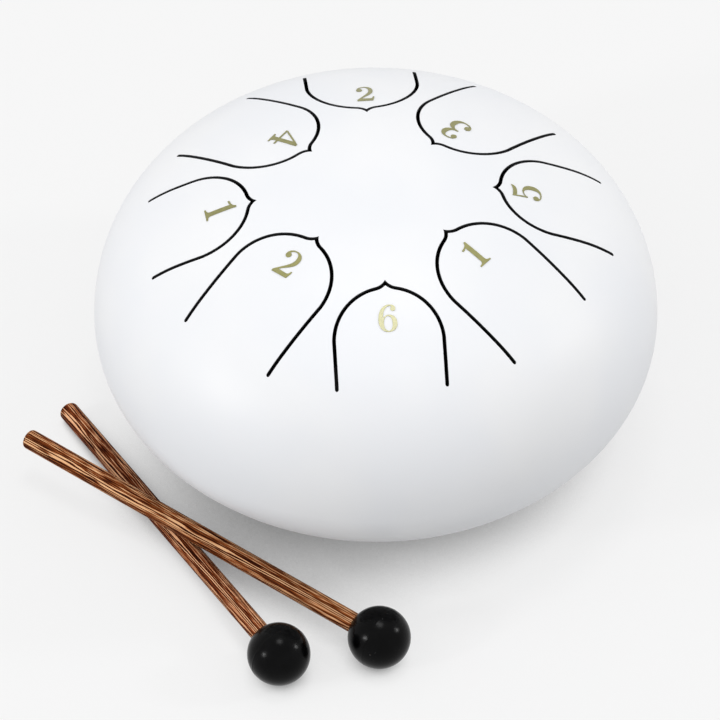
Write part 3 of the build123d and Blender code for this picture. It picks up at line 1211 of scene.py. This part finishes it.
@dataclass
class Mallet:
    """Mallet of a rubber ball glued on a wooden stick, placed where the frame has it."""

    which: str
    rubber: Material
    wood: StripedWood
    seat_depth: float = 0.014
    glue_gap: float = 0.00005
    tail_round: float = 0.0016
    tail_steps: int = 8
    tail_inset_share: float = 0.25
    tail_facing: float = 0.99
    nose_steps: int = 2
    ridge: float = 0.00005
    ridge_width: float = 0.00032
    ridge_steps: int = 2
    mouth_round: float = 0.0004
    mouth_steps: int = 4
    ball_sides: int = 96
    ball_crease: float = 40.0
    stick_sides: int = 64
    stick_rings: int = 40
    stick_crease: float = 30.0
    digits: int = 6

    def frame(self) -> tuple[Matrix, float, float, float]:
        """Where the mallet lies.

        Returns:
            Frame at the ball's middle with Z along the stick, the ball's and the stick's radius, and
            how far the stick reaches.
        """
        low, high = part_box(f"{self.which}_mallet_head")
        middle = (low + high) / 2
        mesh = bpy.data.objects[f"{self.which}_mallet_stick"].data
        places = {tuple(round(x, self.digits) for x in corner.co) for corner in mesh.vertices}
        corners = [Vector(place) - middle for place in places]
        farthest = max(corner.length for corner in corners)
        tail = [corner for corner in corners if corner.length > farthest - 2 * self.tail_round]
        along = sum(tail, Vector()).normalized()
        reach = max(corner.dot(along) for corner in corners)
        girth = max((corner - along * corner.dot(along)).length for corner in corners)
        turn = along.to_track_quat("Z", "Y").to_matrix().to_4x4()
        return Matrix.Translation(middle) @ turn, (high.z - low.z) / 2, girth, reach

    def ball(self, radius: float, bore: float) -> Piece:
        """Ball about the origin with a blind bore along Z, a rounded mouth and a fine parting ridge.

        Args:
            radius: Radius of the ball over its ridge.
            bore: Radius of the bore.

        Returns:
            The ball.
        """
        bpy.ops.object.select_all(action="DESELECT")
        skin = radius - self.ridge
        bpy.ops.mesh.primitive_uv_sphere_add(segments=self.ball_sides, ring_count=self.ball_sides // 2,
                                             radius=skin)
        piece = bpy.context.object
        piece.name = f"{self.which}_rubber_ball"
        mouth = sqrt(skin**2 - bore**2)
        with editing(piece):
            bpy.ops.mesh.select_all(action="SELECT")
            bpy.ops.mesh.bisect(plane_co=(0, 0, mouth), plane_no=(0, 0, 1), clear_outer=True)
            pick(piece, Part.EDGE, lambda edge: edge.is_boundary)
            sink = Vector((0, 0, radius - self.seat_depth - mouth))
            bpy.ops.mesh.extrude_region_move(TRANSFORM_OT_translate={"value": sink})
            bpy.ops.mesh.edge_face_add()
            pick_ring(piece, mouth)
            bpy.ops.mesh.bevel(offset=self.mouth_round, segments=self.mouth_steps)
            pick_ring(piece, 0.0)
            bpy.ops.mesh.bevel(offset=self.ridge_width / 2, segments=self.ridge_steps)
            pick_ring(piece, 0.0)
            grow = radius / skin
            bpy.ops.transform.resize(value=(grow, grow, 1.0), center_override=(0, 0, 0))
            close_up()
        smooth(piece, self.ball_crease)
        return piece

    def stick(self, radius: float, start: float, reach: float) -> Piece:
        """Stick along Z with a rounded tail and a softened nose.

        Args:
            radius: Radius of the stick.
            start: Where its nose lies along Z.
            reach: Where its tail lies along Z.

        Returns:
            The stick.
        """
        bpy.ops.object.select_all(action="DESELECT")
        length = reach - start
        spot = (0, 0, (start + reach) / 2)
        bpy.ops.mesh.primitive_cylinder_add(vertices=self.stick_sides, radius=radius, depth=length,
                                            location=spot)
        piece = bpy.context.object
        piece.name = f"{self.which}_wooden_stick"
        with editing(piece):
            pick_ring(piece, length / 2)
            bpy.ops.mesh.bevel(offset=self.tail_round, segments=self.tail_steps)
            pick_ring(piece, -length / 2)
            bpy.ops.mesh.bevel(offset=self.mouth_round, segments=self.nose_steps)
            pick(piece, Part.FACE, lambda face: face.normal.z > self.tail_facing)
            bpy.ops.mesh.inset(thickness=radius * self.tail_inset_share)
            for height in steps(start, reach, self.stick_rings)[1:-1]:
                bpy.ops.mesh.select_all(action="SELECT")
                bpy.ops.mesh.bisect(plane_co=(0, 0, height), plane_no=(0, 0, 1))
        lay(piece, Matrix.Translation(spot))
        smooth(piece, self.stick_crease)
        return piece

    def build(self) -> list[Piece]:
        """Make the ball and the stick and lay them down.

        Returns:
            The finished ball and stick.
        """
        frame, radius, girth, reach = self.frame()
        start = radius - self.seat_depth
        ball = self.ball(radius, girth + self.glue_gap)
        stick = self.stick(girth, start, reach)
        for piece in (ball, stick):
            lay(piece, frame)
        dress(ball, self.rubber, Slot.HEAD)
        dress(stick, self.wood.material(frame, girth), Slot.WOOD)
        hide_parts(f"{self.which}_mallet_head")
        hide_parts(f"{self.which}_mallet_stick")
        return [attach(piece, f"{self.which}_mallet") for piece in (ball, stick)]


@dataclass(frozen=True)
class Lamp:
    """Soft lamp of the studio, seen from the drum in a direction."""

    name: str
    azimuth: float
    elevation: float
    distance: float
    size: float
    power: float
    mirrored: bool = True


@dataclass
class Studio:
    """Pale floor, soft lamps, even ambient light and the camera."""

    centre: Vector
    floor_half: float = 30.0
    backdrop: Colour = (0.93, 0.93, 0.93)
    ambient: float = 0.70
    elevation: float = radians(46.891)
    heading: float = radians(4.475)
    roll: float = radians(0.363)
    distance: float = 1.5457
    far: float = 100.0
    focal_pixels: float = 4346.2
    aim_right: float = -0.005605
    aim_up: float = -0.01877
    lamps: tuple[Lamp, ...] = (
        Lamp("top_spot", 60.0, 84.5, 2.4, 0.7, 10.5),
        Lamp("left_spot", 204.0, 24.0, 2.4, 0.3, 13.0),
        Lamp("right_spot", 0.0, 27.0, 2.4, 0.3, 10.0),
        Lamp("left_softbox", 190.0, 45.0, 2.4, 1.8, 6.0, False),
        Lamp("right_softbox", 10.0, 45.0, 2.4, 1.8, 3.5, False),
    )

    def build(self) -> None:
        """Set up the whole studio."""
        self.floor()
        for lamp in self.lamps:
            self.hang(lamp)
        self.world()
        self.camera()
        bpy.context.scene.view_settings.view_transform = "Standard"

    def floor(self) -> None:
        """Large pale floor under the feet."""
        bpy.ops.object.select_all(action="DESELECT")
        aside = (self.floor_half / 2, 0.0, 0.0)
        bpy.ops.mesh.primitive_plane_add(size=2 * self.floor_half, location=aside)
        bpy.ops.object.transform_apply(location=True)
        floor = bpy.context.object
        floor.name = "pale_floor"
        floor.data.materials.append(PaleFloor().material())

    def hang(self, lamp: Lamp) -> None:
        """Hang a lamp and turn it to the drum.

        Args:
            lamp: Lamp to hang.
        """
        light = bpy.data.lights.new(lamp.name, "AREA")
        light.shape = "DISK"
        light.size = lamp.size
        light.energy = lamp.power
        holder = bpy.data.objects.new(lamp.name, light)
        holder.visible_glossy = lamp.mirrored
        bpy.context.scene.collection.objects.link(holder)
        turn, rise = radians(lamp.azimuth), radians(lamp.elevation)
        away = Vector((cos(turn) * cos(rise), sin(turn) * cos(rise), sin(rise)))
        holder.location = self.centre + away * lamp.distance
        holder.rotation_euler = away.to_track_quat("Z", "Y").to_euler()

    def world(self) -> None:
        """Even light from all round, and a backdrop that the camera and mirrors see as pale paper."""
        world = bpy.data.worlds.new("studio")
        world.use_nodes = True
        bpy.context.scene.world = world
        graph = Graph(world.node_tree)
        white, pale = (1.0, 1.0, 1.0, 1.0), (*self.backdrop, 1.0)
        light = graph.node("ShaderNodeBackground", None, {"Color": white, "Strength": self.ambient})
        paper = graph.node("ShaderNodeBackground", None, {"Color": pale, "Strength": 1.0})
        shader = graph.node("ShaderNodeMixShader", None, {0: graph.seen(), 1: light, 2: paper})
        graph.node("ShaderNodeOutputWorld", None, {"Surface": shader})

    def camera(self) -> None:
        """Long lens at the photograph's viewing angle."""
        turn = Matrix.Rotation(-self.heading, 3, "Z")
        back = turn @ Vector((0.0, -cos(self.elevation), sin(self.elevation)))
        right = Matrix.Rotation(self.roll, 3, back) @ turn @ Vector((1.0, 0.0, 0.0))
        up = back.cross(right)
        stand = self.centre + back * self.distance
        target = self.centre + right * self.aim_right + up * self.aim_up
        away = (stand - target).normalized()
        side = up.cross(away).normalized()
        lens = bpy.data.cameras.new("photo_camera")
        lens.lens = self.focal_pixels * lens.sensor_width / PHOTO_PIXELS
        lens.clip_end = self.far
        camera = bpy.data.objects.new("photo_camera", lens)
        bpy.context.scene.collection.objects.link(camera)
        axes = Matrix((side, away.cross(side), away)).transposed().to_4x4()
        camera.matrix_world = Matrix.Translation(stand) @ axes
        bpy.context.scene.camera = camera


def main() -> None:
    """Load the frame, build and dress every piece, and set up the studio."""
    logging.basicConfig(level=logging.INFO, format="%(name)s: %(message)s")
    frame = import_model()
    weld_low, weld_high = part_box("seam_weld")
    equator = (weld_low.z + weld_high.z) / 2
    radius, top, base = weld_high.x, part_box("upper_shell")[1].z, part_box("lower_shell")[0].z
    dome = Skin(radius, top - equator, CROWN_RISE, CROWN_FLAT, equator, 1)
    bowl = Skin(radius, equator - base, BASE_DROP, BASE_FLAT, equator, -1)
    roots = [joint for joint in frame["joints"] if joint["name"].endswith("_flex")]
    tongues = [Tongue.of_joint(joint) for joint in roots]
    body = SteelBody(dome, bowl, tongues, PowderCoat().material())
    made = body.build()
    foil = GoldFoil().material()
    for tongue in tongues:
        dress(frame["nodes"][f"number_{tongue.number}"], foil, Slot.FOIL)
    foot_rubber = BlackRubber("foot_rubber", roughness=0.62).material()
    made += [Foot(f"rubber_foot_{index + 1}", foot_rubber).build() for index in range(body.foot_count)]
    ball_rubber = BlackRubber("ball_rubber", roughness=0.21).material()
    woods = {
        "lower": StripedWood("lower_stick_wood", dark=(0.022, 0.003, 0.0005), brown=(0.125, 0.022, 0.004),
                             tan=(0.30, 0.074, 0.018), glow=(0.80, 0.44, 0.24)),
        "upper": StripedWood("upper_stick_wood", dark=(0.030, 0.005, 0.001), brown=(0.14, 0.030, 0.005),
                             tan=(0.34, 0.094, 0.022), glow=(0.80, 0.46, 0.24)),
    }
    for which, wood in woods.items():
        made += Mallet(which, ball_rubber, wood).build()
    for piece in made:
        LOG.info("%s: %d faces", piece.name, len(piece.data.polygons))
    Studio(Vector((0.0, 0.0, equator))).build()


if __name__ == "__main__":
    main()
